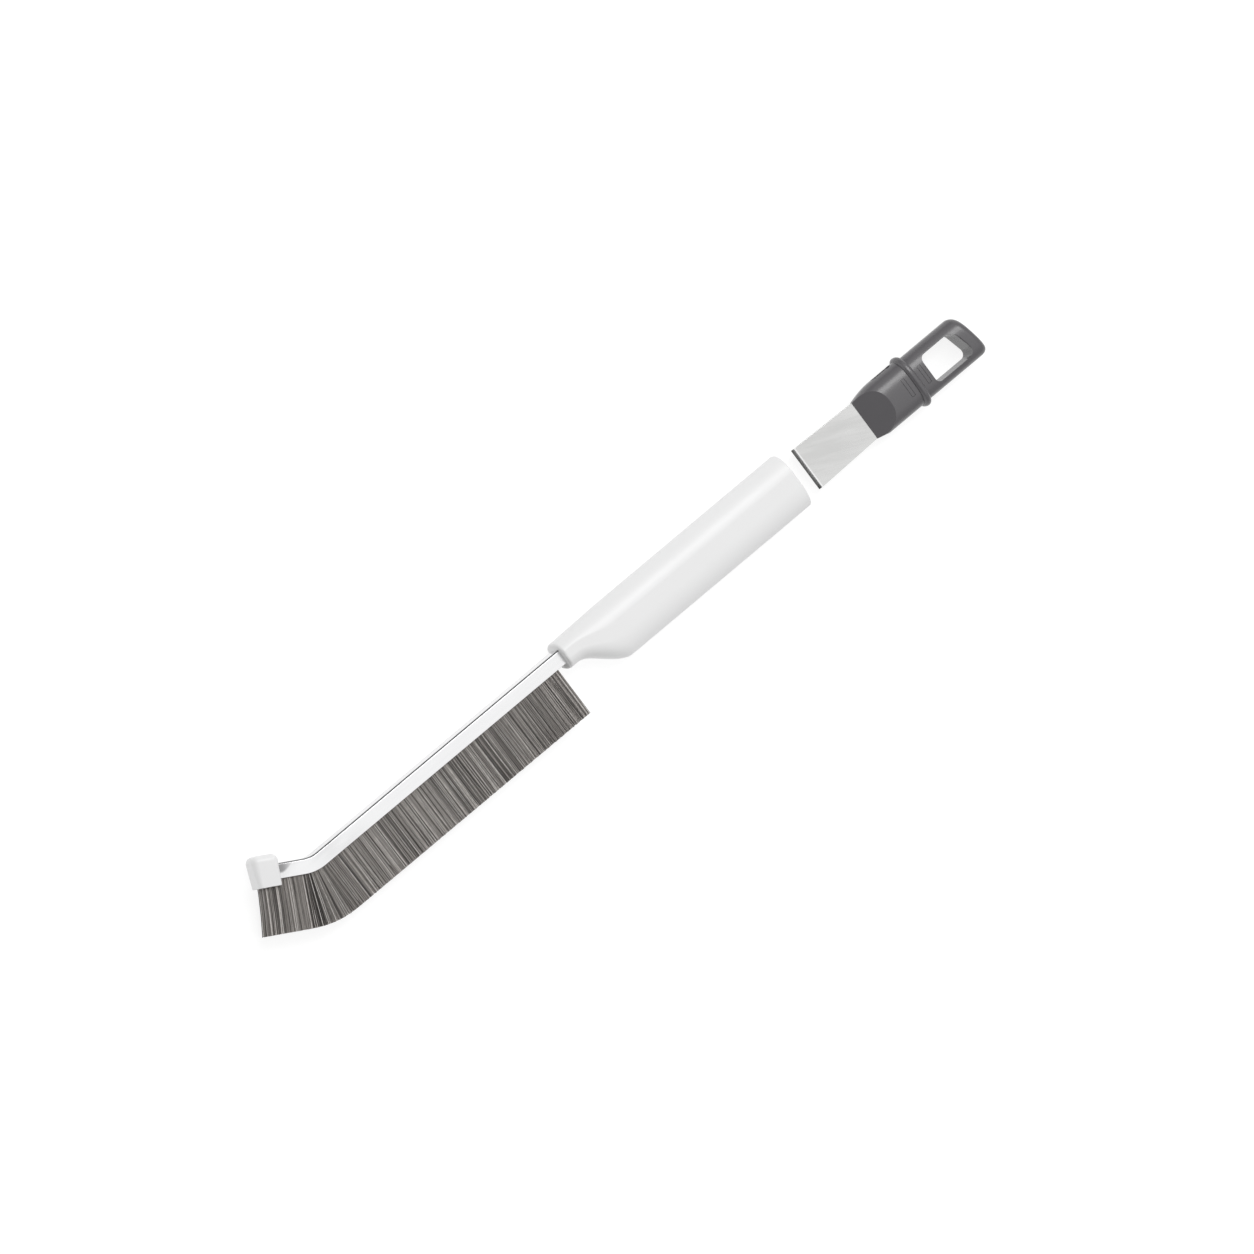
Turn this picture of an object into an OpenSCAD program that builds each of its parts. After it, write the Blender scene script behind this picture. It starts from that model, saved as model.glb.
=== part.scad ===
// Crevice brush with a scraper that is stored in the hollow handle.
// The brush lies on one side: X runs along the handle towards its open butt,
// the bristles point to -Y, and Z is up from the surface that it rests on.
// The origin is on the flat of the handle's lower face.

/* [Handle] */
// Length from the neck's end face to the butt
handle_l = 127; // [112:1:160]
// Width of the grip, from its back edge to its bristle-side edge
handle_w = 25.5; // [21:0.5:32]
// Thickness of the grip between its two flats
handle_t = 16; // [13:0.5:20]
// Wall round the storage space
handle_wall = 1.4; // [1.1:0.1:1.9]
// How far each flat is cut into the oval
flat_depth = 0.15; // [0.1:0.05:0.3]
// Straight length of the neck before the shoulder
neck_l = 4.5; // [3:0.5:10]
// Length of the S-shaped shoulder between the neck and the grip
shoulder_l = 21.5; // [16:0.5:28]
// Length over which the back edge eases in towards the neck
back_ease_l = 30; // [22:1:40]
// Plastic between the strip's back and the neck's back edge
neck_back_wall = 3.1; // [2:0.1:4]
// Plastic between the strip's mouth and the neck's bristle-side edge
neck_front_wall = 3.2; // [2:0.1:4]
// Edge radius of the neck's end face
neck_edge_r = 1; // [0.4:0.1:1.8]
// Solid plastic between the storage space and the shoulder
storage_end = 7; // [4:0.5:10]
// Distance from the butt back to the rest point
butt_to_rest = 60; // [40:1:70]

/* [Metal strip] */
// Width of the folded strip, across its two side walls
strip_w = 8.5; // [7:0.1:10]
// Height of the side walls, from the back to the mouth
strip_h = 6.4; // [5:0.1:8]
// Thickness of the sheet
sheet_t = 0.7; // [0.5:0.05:0.9]
// Outer radius of the two folds
fold_r = 0.8; // [0.7:0.05:1.4]
// Depth of the strip's back below the handle's back edge
strip_inset = 3.75; // [3.2:0.05:5]
// Length held in the neck
strip_in_neck = 15; // [8:1:24]
// Straight length between the neck and the bend
strip_l = 135.8; // [90:0.1:180]
// Angle of the bend near the tip
bend_angle = 28; // [10:1:40]
// Bend radius of the strip's back
bend_r = 14; // [8:1:30]
// Diameter of the wire that the bristles are folded round
wire_d = 2; // [1.2:0.1:2.4]
// Bristle layer between the wire and the strip's back
wire_bed = 0.9; // [0.4:0.1:1]
// Length of the wire inside the neck
wire_in_neck = 10; // [2:1:14]
// Wire left short of the strip's end
wire_end_gap = 1; // [0.5:0.1:2]

/* [Bristles] */
// Free length beyond the strip's mouth
bristle_l = 22.2; // [12:0.2:30]
// Bare strip between the neck and the first bristles
bristle_start = 5; // [2:0.5:15]
// Rows of strands across the strip
bristle_rows = 5; // [4:1:6]
// Strands along the straight run in each row
run_count = 69; // [55:1:75]
// Strands round the bend in each row
bend_count = 7; // [5:1:9]
// Strands along the tip in each row
tip_count = 9; // [6:1:12]
// Share of its cell that a strand fills, along the strip
strand_fill_along = 0.62; // [0.4:0.02:0.7]
// Share of its cell that a strand fills, across the strip
strand_fill_across = 0.66; // [0.4:0.02:0.7]
// Depth of the bristle root's face below the strip's mouth
root_depth = 0.8; // [0.4:0.1:1.5]
// Outward spread of the outer rows at their tips
splay = 0.7; // [0:0.1:1.5]
// Outward lean of the last strands at the tip end
end_lean = 1.6; // [0:0.1:2.5]
// Unevenness of the trimmed tips
trim_wobble = 0.3; // [0:0.05:0.5]

/* [Tip cap] */
// Straight strip between the bend and the cap's rim
cap_start = 10.3; // [6:0.1:20]
// Length of the cap
cap_l = 12; // [9:0.1:16]
// Thickness of the cap's closed end
cap_end_wall = 3; // [2:0.1:4]
// How far the closed end leans in at its bristle side
cap_lean = 1.3; // [0:0.1:2]
// How far the rim leans in at its bristle side
cap_rim_lean = 0.9; // [0:0.1:1.5]
// Wall beside the strip
cap_side_wall = 1; // [0.8:0.1:2]
// Plastic on the strip's back
cap_back_wall = 4.3; // [3.2:0.1:6]
// Height of the cap past the strip's mouth
cap_front_wall = 2.7; // [1.5:0.1:4]
// Radius of the cap's rounded back
cap_back_r = 2.9; // [1.5:0.1:3]
// Radius of the upright edges of the closed end
cap_end_r = 1.7; // [0.8:0.1:2]
// Radius of the upright edges of the rim
cap_rim_r = 0.7; // [0.4:0.1:0.9]
// Strip's end to the last bristles, inside the cap
cap_bristle_gap = 0.6; // [0.4:0.1:3]

/* [Scraper blade] */
// Blade that stands out of the holder
blade_l = 33.3; // [26:0.1:42]
// Thickness of the blade
blade_t = 1.2; // [0.8:0.1:1.8]
// Step from the plug's bristle side to the blade's at the cutting edge
blade_inset = 0.65; // [0.4:0.05:3]
// Step from the plug's back to the blade's back edge at the cutting edge
blade_back_inset = 1.15; // [0.4:0.05:3]
// Narrowing of each side of the blade towards the holder
blade_taper = 0.85; // [0:0.05:1.5]
// Length of the ground bevel
bevel_l = 1.2; // [0.6:0.1:3]
// Thickness left at the cutting edge
edge_t = 0.3; // [0.15:0.05:0.5]
// Length of the tang moulded into the holder
tang_l = 15; // [8:0.5:20]
// Width of the tang
tang_w = 13; // [9:0.5:15]
// Diameter of the two holes that key the tang
tang_hole_d = 4; // [2:0.5:5]

/* [Scraper holder] */
// Gap between the plug and the storage space, all round
plug_gap = 0.3; // [0.2:0.05:0.5]
// Extra clearance at the plug's back edge
plug_back_relief = 0.5; // [0:0.1:0.8]
// Length of the two sloping faces beside the blade
ramp_l = 11.9; // [8:0.1:16]
// Plug from the slopes to the collar
plug_l = 12.8; // [9:0.1:18]
// Plastic on each side of the blade where the slopes start
lip_t = 0.35; // [0.25:0.05:0.6]
// Width of the collar bead along the handle
collar_l = 3.4; // [2.4:0.1:5]
// Step from the handle's bristle side in to the collar's
collar_inset = 0.1; // [0:0.1:1]
// Step from the handle's back edge in to the collar's
collar_back_inset = 1; // [0:0.1:1.5]
// Step from the handle's flats in to the collar's
collar_inset_t = 0.2; // [0.1:0.1:0.6]
// Length of the hanging loop at its middle
loop_l = 31.4; // [26:0.1:40]
// Step from the plug's back down to the loop's back
loop_back_step = 0.7; // [0:0.1:2]
// Step from the plug's bristle side in to the loop's
loop_front_step = 0.1; // [0:0.1:1]
// Step from the plug's flat down to the loop's, on each face
loop_face_step = 0.45; // [0.2:0.05:1]
// Slant of the loop's end
loop_slant = 11; // [0:1:15]
// Collar to the hole
hole_start = 5.8; // [4:0.1:9]
// Length of the hole on its bristle side
hole_l = 21.5; // [14:0.1:22]
// Bar between the hole and the loop's back
hole_back_bar = 4; // [3:0.1:5]
// Bar between the hole and the loop's bristle side
hole_front_bar = 3.3; // [2.6:0.1:5]
// Slope of the hole's outer side
hole_slant = 15; // [0:1:18]
// Gap from the butt to the cutting edge with the scraper pulled out
pulled_out = 7.7; // [1:0.1:20]

/* [Hidden] */
// How far a cutting shape runs past what it cuts
past = 1;
// Points round an oval section, and its squareness: 2 is an ellipse
handle_sides = 56;
holder_sides = 48;
squareness = 2.5;
// Steps in a quarter round and in each fold of the strip
round_steps = 4;
fold_steps = 5;
// Points round the wire
wire_sides = 12;

// Places along the handle
mid_z = handle_t / 2;
butt_x = butt_to_rest;
neck_x = butt_x - handle_l;
grip_x = neck_x + neck_l + shoulder_l;
storage_x = grip_x + storage_end;
bend_x = neck_x - strip_l;

// Half sizes of the oval grip before its flats are cut, and of the storage space
grip_ry = handle_w / 2;
grip_rz = handle_t / 2 + flat_depth;
storage_ry = grip_ry - handle_wall;
storage_rz = grip_rz - handle_wall;

// Edges of the strip and the neck across the handle
strip_back_y = grip_ry - strip_inset;
neck_high_y = strip_back_y + neck_back_wall;
neck_low_y = strip_back_y - strip_h - neck_front_wall;

// The strip runs on past the bend to its end in the cap
tip_l = cap_start + cap_l - cap_end_wall;
bristle_end = tip_l - cap_bristle_gap;
bend_l = bend_r * bend_angle * PI / 180;
bend_stations = [for (i = [0 : bend_count]) bend_l * i / bend_count];
root_half = strip_w / 2 - sheet_t;
root_top = strip_h - root_depth;
wire_h = sheet_t + wire_bed + wire_d / 2;

// Scraper: the plug's half sizes, then places along it
plug_ry = storage_ry - plug_gap;
plug_rz = storage_rz - plug_gap;
edge_x = butt_x + pulled_out;
lip_x = edge_x + blade_l;
plug_x = lip_x + ramp_l;
collar_x = plug_x + plug_l;
loop_x = collar_x + collar_l;
loop_end_x = loop_x + loop_l;
plug_high_y = plug_ry - plug_back_relief;
loop_low_y = -plug_ry + loop_front_step;
loop_high_y = plug_high_y - loop_back_step;
loop_rz = plug_rz - loop_face_step;
blade_low_y = -plug_ry + blade_inset;
blade_high_y = plug_high_y - blade_back_inset;
blade_mid_y = (blade_low_y + blade_high_y) / 2;
collar_low_y = -grip_ry + collar_inset;
collar_high_y = grip_ry - collar_back_inset;
collar_rz = mid_z - collar_inset_t;

// Smooth step from 0 to 1
function ease(t) = let (c = min(max(t, 0), 1)) c * c * (3 - 2 * c);

// Quarter round: distance along and distance in, for a radius and an angle
function round_along(r, a) = r * sin(a);
function round_in(r, a) = r * (1 - cos(a));

// Points of an oval with half sizes ry and rz
function oval(ry, rz, sides) = [
  for (i = [0 : sides - 1])
    let (c = cos(360 * i / sides), s = sin(360 * i / sides))
      [
        ry * sign(c) * pow(abs(c), 2 / squareness),
        rz * sign(s) * pow(abs(s), 2 / squareness)
      ]
];

// Ring of points round the X axis between two Y edges, leaning with the slant
function ring(x, low_y, high_y, rz, sides, slant = 0) = [
  for (p = oval((high_y - low_y) / 2, rz, sides))
    let (y = (high_y + low_y) / 2 + p[0])
      [x - y * tan(slant), y, mid_z + p[1]]
];

// Closed skin through a list of rings, with the triangles that fill a ring at each end
module skin(rings, fill) {
  sides = len(rings[0]);
  last = (len(rings) - 1) * sides;
  walls = [
    for (i = [0 : sides : last - sides], j = [0 : sides - 1])
      let (next = (j + 1) % sides)
        each [
          [i + j, i + j + sides, i + next + sides],
          [i + j, i + next + sides, i + next]
        ]
  ];
  ends = [for (t = fill) each [t, [last + t[0], last + t[2], last + t[1]]]];
  polyhedron([for (r = rings) each r], concat(walls, ends));
}

// The same where every ring bulges outwards all round
module loft(rings) {
  skin(rings, [for (j = [1 : len(rings[0]) - 2]) [0, j, j + 1]]);
}

// Outline whose corners [x, y, radius] are rounded
function unit(v) = v / norm(v);
function fillet(before, corner, after, steps) =
  let (
    p = [corner[0], corner[1]],
    u = unit([before[0], before[1]] - p),
    v = unit([after[0], after[1]] - p),
    half = acos(u * v) / 2,
    centre = p + unit(u + v) * corner[2] / sin(half),
    from = p + u * corner[2] / tan(half) - centre,
    to = p + v * corner[2] / tan(half) - centre,
    sweep = 180 - 2 * half
  )
  [
    for (k = [0 : steps])
      centre + (from * sin(sweep * (1 - k / steps)) + to * sin(sweep * k / steps)) / sin(sweep)
  ];
function rounded(corners, steps = 6) =
  let (n = len(corners))
  [
    for (i = [0 : n - 1])
      each fillet(corners[(i + n - 1) % n], corners[i], corners[(i + 1) % n], steps)
  ];

// Edges of the handle at a place along it
function handle_high(x) =
  neck_high_y + (grip_ry - neck_high_y) * ease((x - neck_x) / back_ease_l);
function handle_low(x) =
  neck_low_y + (-grip_ry - neck_low_y) * ease((x - neck_x - neck_l) / shoulder_l);
function handle_ring(x, inset = 0) =
  ring(x, handle_low(x) + inset, handle_high(x) - inset, grip_rz - inset, handle_sides);

// One skin runs from the neck over the rim of the butt and down into the storage space
module handle_skin() {
  shoulder_steps = 10;
  rim_r = handle_wall / 2;
  floor_r = 2.5;
  neck_edge = [
    for (k = [0 : round_steps])
      let (a = 90 - 90 * k / round_steps)
        handle_ring(neck_x + neck_edge_r - round_along(neck_edge_r, a), round_in(neck_edge_r, a))
  ];
  shoulder = [
    for (k = [0 : shoulder_steps])
      handle_ring(neck_x + neck_l + shoulder_l * k / shoulder_steps)
  ];
  back_end = [handle_ring(neck_x + back_ease_l)];
  rim = [
    for (k = [0 : 2 * round_steps])
      let (a = 90 * k / round_steps)
        ring(
          butt_x - rim_r + round_along(rim_r, a),
          -grip_ry + round_in(rim_r, a),
          grip_ry - round_in(rim_r, a),
          grip_rz - round_in(rim_r, a),
          handle_sides
        )
  ];
  storage_floor = [
    for (k = [0 : round_steps])
      let (a = 90 * k / round_steps, inset = round_in(floor_r, a))
        ring(
          storage_x + floor_r - round_along(floor_r, a),
          -storage_ry + inset,
          storage_ry - inset,
          storage_rz - inset,
          handle_sides
        )
  ];
  loft(concat(neck_edge, shoulder, back_end, rim, storage_floor));
}

module handle() {
  color("whitesmoke")
    difference() {
      handle_skin();
      // Flats that the handle rests on
      for (side = [-1, 1])
        translate([(neck_x + butt_x) / 2, 0, mid_z + side * handle_t])
          cube([handle_l + 2 * past, handle_w + 2 * past, handle_t], center = true);
      // Socket for the strip
      strip_frame()
        sweep_prism(-strip_l - strip_in_neck, -strip_l + past)
          strip_outline();
    }
}

// Places children drawn as [along towards the tip, height above the strip's back, across]
module strip_frame() {
  translate([bend_x, strip_back_y, mid_z])
    rotate([0, 0, 180])
      children();
}

// The same past the bend, where along is counted from the end of the bend
module tip_frame() {
  strip_frame()
    translate([0, -bend_r, 0])
      rotate([0, 0, -bend_angle])
        translate([0, bend_r, 0])
          children();
}

// Extrudes an outline drawn as [height, across] along the strip
module sweep_prism(from, to) {
  translate([from, 0, 0])
    rotate([90, 0, 90])
      linear_extrude(to - from)
        children();
}

// Point on the strip's path: along from the start of the bend, height and across
function path_point(along, h, across) =
  let (
    a = bend_angle * min(max(along / bend_l, 0), 1),
    before = min(along, 0),
    after = max(along - bend_l, 0)
  )
  [
    bend_x - before - (bend_r + h) * sin(a) - after * cos(a),
    strip_back_y + bend_r - (bend_r + h) * cos(a) + after * sin(a),
    mid_z + across
  ];

// Direction towards the tip at a place along the path
function along_at(along) =
  let (a = bend_angle * min(max(along / bend_l, 0), 1))
    [-cos(a), sin(a), 0];

// Rings of a section [height, across] at the ends of the straight runs and round the bend
function strip_rings(section, from, tip_to) = [
  for (s = concat([from], bend_stations, [bend_l + tip_to]))
    [for (p = section) path_point(s, p[0], p[1])]
];

// Outside of the folded strip, from one lip of its mouth round the back to the other
function strip_outside() =
  let (half = strip_w / 2)
  concat(
    [[strip_h, half]],
    fillet([strip_h, half], [0, half, fold_r], [0, -half], fold_steps),
    fillet([0, half], [0, -half, fold_r], [strip_h, -half], fold_steps),
    [[strip_h, -half]]
  );

module strip_outline() {
  polygon(strip_outside());
}

// Folded sheet, one skin from the neck to the cap
module brush_channel() {
  outside = strip_outside();
  inside = [
    [strip_h, -root_half],
    [sheet_t, -root_half],
    [sheet_t, root_half],
    [strip_h, root_half]
  ];
  lip = len(outside) - 1;
  corner = fold_steps + 1;
  low_corner = lip + 2;
  high_corner = lip + 3;
  // The U is filled by a fan from each inner corner and a quad across the back
  end_fill = concat(
    [[0, high_corner, lip + 4]],
    [for (k = [0 : corner]) [high_corner, k, k + 1]],
    [[corner + 1, low_corner, high_corner]],
    [for (k = [corner + 1 : lip - 1]) [low_corner, k, k + 1]],
    [[lip, lip + 1, low_corner]]
  );
  color("silver")
    skin(strip_rings(concat(outside, inside), -strip_l - strip_in_neck, tip_l), end_fill);
}

module wire_body() {
  section = [
    for (i = [0 : wire_sides - 1])
      wire_point(360 * i / wire_sides)
  ];
  loft(strip_rings(section, -strip_l - wire_in_neck, tip_l - wire_end_gap));
}
function wire_point(a) = [wire_h + wire_d / 2 * cos(a), wire_d / 2 * sin(a)];

module core_wire() {
  color("gray")
    wire_body();
}

// Bristle strands on a slice of their root, between stations along the strip
module bristle_bed(stations, lean_from) {
  columns = len(stations) - 1;
  tip_h = strip_h + bristle_l;
  lean_wobble = 0.16;
  sway_wobble = 0.1;
  // Even wobble in -1 to 1 that differs from strand to strand
  function wobble(i, j, k) = sin(137.5 * (i * 7 + j * 13) + 71 * k);
  function cross_at(j) = -root_half + 2 * root_half * j / bristle_rows;
  function lean_at(along) =
    end_lean * ease((along - lean_from) / (bend_l + bristle_end - lean_from));

  grid = [for (s = stations, j = [0 : bristle_rows]) path_point(s, root_top, cross_at(j))];
  foot = [for (s = stations, side = [-1, 1]) path_point(s, sheet_t, side * root_half)];
  strands = [
    for (i = [0 : columns - 1], j = [0 : bristle_rows - 1])
      let (
        mid = (stations[i] + stations[i + 1]) / 2,
        half_l = (stations[i + 1] - stations[i]) / 2 * strand_fill_along,
        cross = (cross_at(j) + cross_at(j + 1)) / 2,
        half_c = root_half / bristle_rows * strand_fill_across,
        spread = splay * cross / root_half,
        lean = lean_at(mid) + lean_wobble * wobble(i, j, 0),
        sway = spread + sway_wobble * wobble(i, j, 1),
        top = tip_h + trim_wobble * wobble(i, j, 2),
        corners = [[-1, -1], [1, -1], [1, 1], [-1, 1]],
        low_grid = path_point(stations[i], root_top, cross),
        high_grid = path_point(stations[i + 1], root_top, cross),
        flat_low = low_grid + (high_grid - low_grid) * (1 - strand_fill_along) / 2,
        flat_high = high_grid - (high_grid - low_grid) * (1 - strand_fill_along) / 2
      )
      each concat(
        [for (c = corners) (c[0] < 0 ? flat_low : flat_high) + [0, 0, c[1] * half_c]],
        [for (c = corners) path_point(mid, top, cross) + along_at(mid) * (c[0] * half_l + lean)
          + [0, 0, c[1] * half_c + sway]]
      )
  ];

  foot_at = len(grid);
  strand_at = foot_at + len(foot);
  function g(i, j) = i * (bristle_rows + 1) + j;
  function f(i, side) = foot_at + 2 * i + side;
  function b(i, j, c) = strand_at + 8 * (i * bristle_rows + j) + c % 4;
  function cell(i, j) = [g(i, j), g(i + 1, j), g(i + 1, j + 1), g(i, j + 1)];

  top_faces = [
    for (i = [0 : columns - 1], j = [0 : bristle_rows - 1], c = [0 : 3])
      let (outer = cell(i, j))
        each [
          [outer[c], outer[(c + 1) % 4], b(i, j, c + 1)],
          [outer[c], b(i, j, c + 1), b(i, j, c)]
        ]
  ];
  strand_faces = [
    for (i = [0 : columns - 1], j = [0 : bristle_rows - 1], c = [0 : 3])
      each [
        [b(i, j, c), b(i, j, c + 1), b(i, j, c + 1) + 4],
        [b(i, j, c), b(i, j, c + 1) + 4, b(i, j, c) + 4]
      ]
  ];
  tip_faces = [
    for (i = [0 : columns - 1], j = [0 : bristle_rows - 1])
      let (t = b(i, j, 0) + 4)
        each [[t, t + 1, t + 2], [t, t + 2, t + 3]]
  ];
  side_faces = [
    for (i = [0 : columns - 1])
      each [
        [f(i, 0), f(i, 1), f(i + 1, 1)],
        [f(i, 0), f(i + 1, 1), f(i + 1, 0)],
        [f(i, 0), f(i + 1, 0), g(i + 1, 0)],
        [f(i, 0), g(i + 1, 0), g(i, 0)],
        [f(i + 1, 1), f(i, 1), g(i, bristle_rows)],
        [f(i + 1, 1), g(i, bristle_rows), g(i + 1, bristle_rows)]
      ]
  ];
  end_faces = [
    for (j = [0 : bristle_rows - 1])
      each [
        [f(0, 1), g(0, j), g(0, j + 1)],
        [f(columns, 0), g(columns, j + 1), g(columns, j)]
      ]
  ];
  end_corners = [
    [f(0, 1), f(0, 0), g(0, 0)],
    [f(columns, 0), f(columns, 1), g(columns, bristle_rows)]
  ];
  polyhedron(
    concat(grid, foot, strands),
    concat(top_faces, strand_faces, tip_faces, side_faces, end_faces, end_corners)
  );
}

module bristles() {
  run_l = strip_l - bristle_start;
  color("dimgray")
    difference() {
      bristle_bed([for (i = [0 : run_count]) -run_l + run_l * i / run_count], bend_l);
      wire_body();
    }
}

module bristles_tip() {
  tip_stations = [for (i = [1 : tip_count]) bend_l + bristle_end * i / tip_count];
  color("dimgray")
    difference() {
      bristle_bed(concat(bend_stations, tip_stations), bend_l);
      wire_body();
    }
}

module tip_cap() {
  low = -cap_back_wall;
  high = strip_h + cap_front_wall;
  half = strip_w / 2 + cap_side_wall;
  // Straight band of the closed end at its mouth
  mouth_band = 0.6;
  color("whitesmoke")
    tip_frame()
      difference() {
        translate([cap_start, 0, 0])
          hull() {
            for (x = [cap_back_r, cap_l - cap_back_r], side = [-1, 1])
              translate([x, low + cap_back_r, side * (half - cap_back_r)])
                sphere(r = cap_back_r, $fn = 32);
            for (side = [-1, 1]) {
              translate([cap_rim_lean + cap_rim_r, high, side * (half - cap_rim_r)])
                rotate([90, 0, 0])
                  cylinder(r = cap_rim_r, h = mouth_band, $fn = 24);
              translate([cap_l - cap_lean - cap_end_r, high, side * (half - cap_end_r)])
                rotate([90, 0, 0])
                  cylinder(r = cap_end_r, h = mouth_band, $fn = 24);
            }
          }
        // Pocket for the strip
        sweep_prism(cap_start - past, tip_l)
          strip_outline();
        // Slot that the bristles stand out of
        sweep_prism(cap_start - past, bristle_end)
          translate([sheet_t, -root_half])
            square([high, 2 * root_half]);
      }
}

// Blade with a ground edge, and a keyed tang inside the holder
module blade_outline() {
  polygon([
    [edge_x, blade_low_y],
    [lip_x, blade_low_y + blade_taper],
    [lip_x, blade_mid_y - tang_w / 2],
    [lip_x + tang_l, blade_mid_y - tang_w / 2],
    [lip_x + tang_l, blade_mid_y + tang_w / 2],
    [lip_x, blade_mid_y + tang_w / 2],
    [lip_x, blade_high_y - blade_taper],
    [edge_x, blade_high_y]
  ]);
}

module tang_holes() {
  for (side = [-1, 1])
    translate([lip_x + tang_l / 2, blade_mid_y + side * tang_w / 4, mid_z - blade_t / 2])
      children();
}

module scraper_blade() {
  bevel_angle = atan((blade_t - edge_t) / bevel_l);
  color("lightgray")
    difference() {
      translate([0, 0, mid_z - blade_t / 2])
        linear_extrude(blade_t)
          blade_outline();
      tang_holes()
        translate([0, 0, -past])
          cylinder(d = tang_hole_d, h = blade_t + 2 * past, $fn = 48);
      // Bevel ground on the upper face
      translate([edge_x, 0, mid_z - blade_t / 2 + edge_t])
        rotate([0, -bevel_angle, 0])
          translate([-past, -handle_w, 0])
            cube([2 * (bevel_l + past), 2 * handle_w, 2 * blade_t]);
    }
}

// Skin of the holder: plug, collar bead and loop in one moulding
module holder_skin() {
  taper_steps = 6;
  front_taper = 5.5;
  back_corner_r = 3.6;
  front_corner_r = 2.4;
  face_r = 2.2;
  bead_r = collar_l / 2;
  // Plastic beside the blade where it enters
  lip_side = 0.1;
  lip_low = blade_low_y + blade_taper - lip_side;
  lip_high = blade_high_y - blade_taper + lip_side;
  // Edges of the plug grow from the lip to their full width
  taper = [
    for (k = [0 : taper_steps])
      let (
        along = ramp_l * k / taper_steps,
        low = lip_low - (lip_low + plug_ry) * min(along / front_taper, 1),
        high = lip_high + (plug_high_y - lip_high) * sin(90 * k / taper_steps)
      )
      ring(lip_x + along, low, high, plug_rz, holder_sides)
  ];
  bead = [
    for (a = [15 : 15 : 165])
      let (inset = bead_r * (1 - sin(a)))
        ring(
          collar_x + bead_r - bead_r * cos(a),
          collar_low_y + inset,
          collar_high_y - inset,
          collar_rz - inset,
          holder_sides
        )
  ];
  neck = [
    ring(collar_x, -plug_ry, plug_high_y, plug_rz, holder_sides)
  ];
  loop_start = [
    ring(loop_x, loop_low_y, loop_high_y, loop_rz, holder_sides)
  ];
  loop_end = [
    for (k = [0 : round_steps + 2])
      let (a = 90 * k / (round_steps + 2))
        ring(
          loop_end_x - back_corner_r + round_along(back_corner_r, a),
          loop_low_y + round_in(front_corner_r, a),
          loop_high_y - round_in(back_corner_r, a),
          loop_rz - round_in(face_r, a),
          holder_sides,
          loop_slant
        )
  ];
  loft(concat(taper, neck, bead, loop_start, loop_end));
}

// Outline of the hanging hole, its outer side slanted and its back corner rounder
module hole_outline() {
  low = loop_low_y + hole_front_bar;
  high = loop_high_y - hole_back_bar;
  start = loop_x + hole_start;
  end_low = start + hole_l;
  end_high = end_low - (high - low) * tan(hole_slant);
  corner_r = 2.6;
  back_end_r = 4.5;
  polygon(
    rounded([
      [start, low, corner_r],
      [end_low, low, corner_r],
      [end_high, high, back_end_r],
      [start, high, corner_r]
    ])
  );
}

module scraper_holder() {
  lip_half_t = blade_t / 2 + lip_t;
  ramp_angle = atan((plug_rz - lip_half_t) / ramp_l);
  mark_gap = 3;
  mark_y = -0.6;
  marks = [[collar_x - mark_gap, plug_rz], [loop_x + mark_gap, loop_rz]];
  color("dimgray")
    difference() {
      holder_skin();
      // Two sloping faces that lead down to the blade
      for (side = [-1, 1])
        translate([lip_x, 0, mid_z + side * lip_half_t])
          rotate([0, -side * ramp_angle, 0])
            translate([-past, -handle_w, side > 0 ? 0 : -handle_t])
              cube([2 * ramp_l, 2 * handle_w, handle_t]);
      // Slot for the tang, with the two pegs that fill its holes left standing
      difference() {
        translate([lip_x - past, blade_mid_y - tang_w / 2, mid_z - blade_t / 2])
          cube([tang_l + past, tang_w, blade_t]);
        tang_holes()
          translate([0, 0, -past])
            cylinder(d = tang_hole_d, h = blade_t + 2 * past, $fn = 48);
      }
      // Hanging hole
      translate([0, 0, -past])
        linear_extrude(handle_t + 2 * past)
          hole_outline();
      plug_dimple();
      // Moulding marks each side of the collar
      for (m = marks)
        translate([m[0], mark_y, mid_z + m[1]])
          mould_mark();
    }
}

// Oval dimple in the plug's back edge
module plug_dimple() {
  dimple_l = 10.4;
  dimple_w = 4;
  dimple_r = 1.9;
  dimple_depth = 0.6;
  dimple_start = 0.9;
  translate([plug_x + dimple_start + dimple_l / 2, plug_high_y - dimple_depth, mid_z])
    rotate([-90, 0, 0])
      linear_extrude(dimple_depth + past)
        polygon(
          rounded([
            for (c = [[-1, -1], [1, -1], [1, 1], [-1, 1]])
              [c[0] * dimple_l / 2, c[1] * dimple_w / 2, dimple_r]
          ])
        );
}

// Thin groove round a rectangle, sunk below z = 0
module mould_mark() {
  mark_l = 8.8;
  mark_w = 1.9;
  mark_depth = 0.2;
  mark_line = 0.25;
  translate([0, 0, -mark_depth])
    linear_extrude(mark_depth + past)
      difference() {
        square([mark_w, mark_l], center = true);
        square([mark_w - 2 * mark_line, mark_l - 2 * mark_line], center = true);
      }
}

handle();
brush_channel();
core_wire();
bristles();
bristles_tip();
tip_cap();
scraper_blade();
scraper_holder();
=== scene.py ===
import math

import bmesh
import bpy
from mathutils import Matrix, Vector


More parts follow.
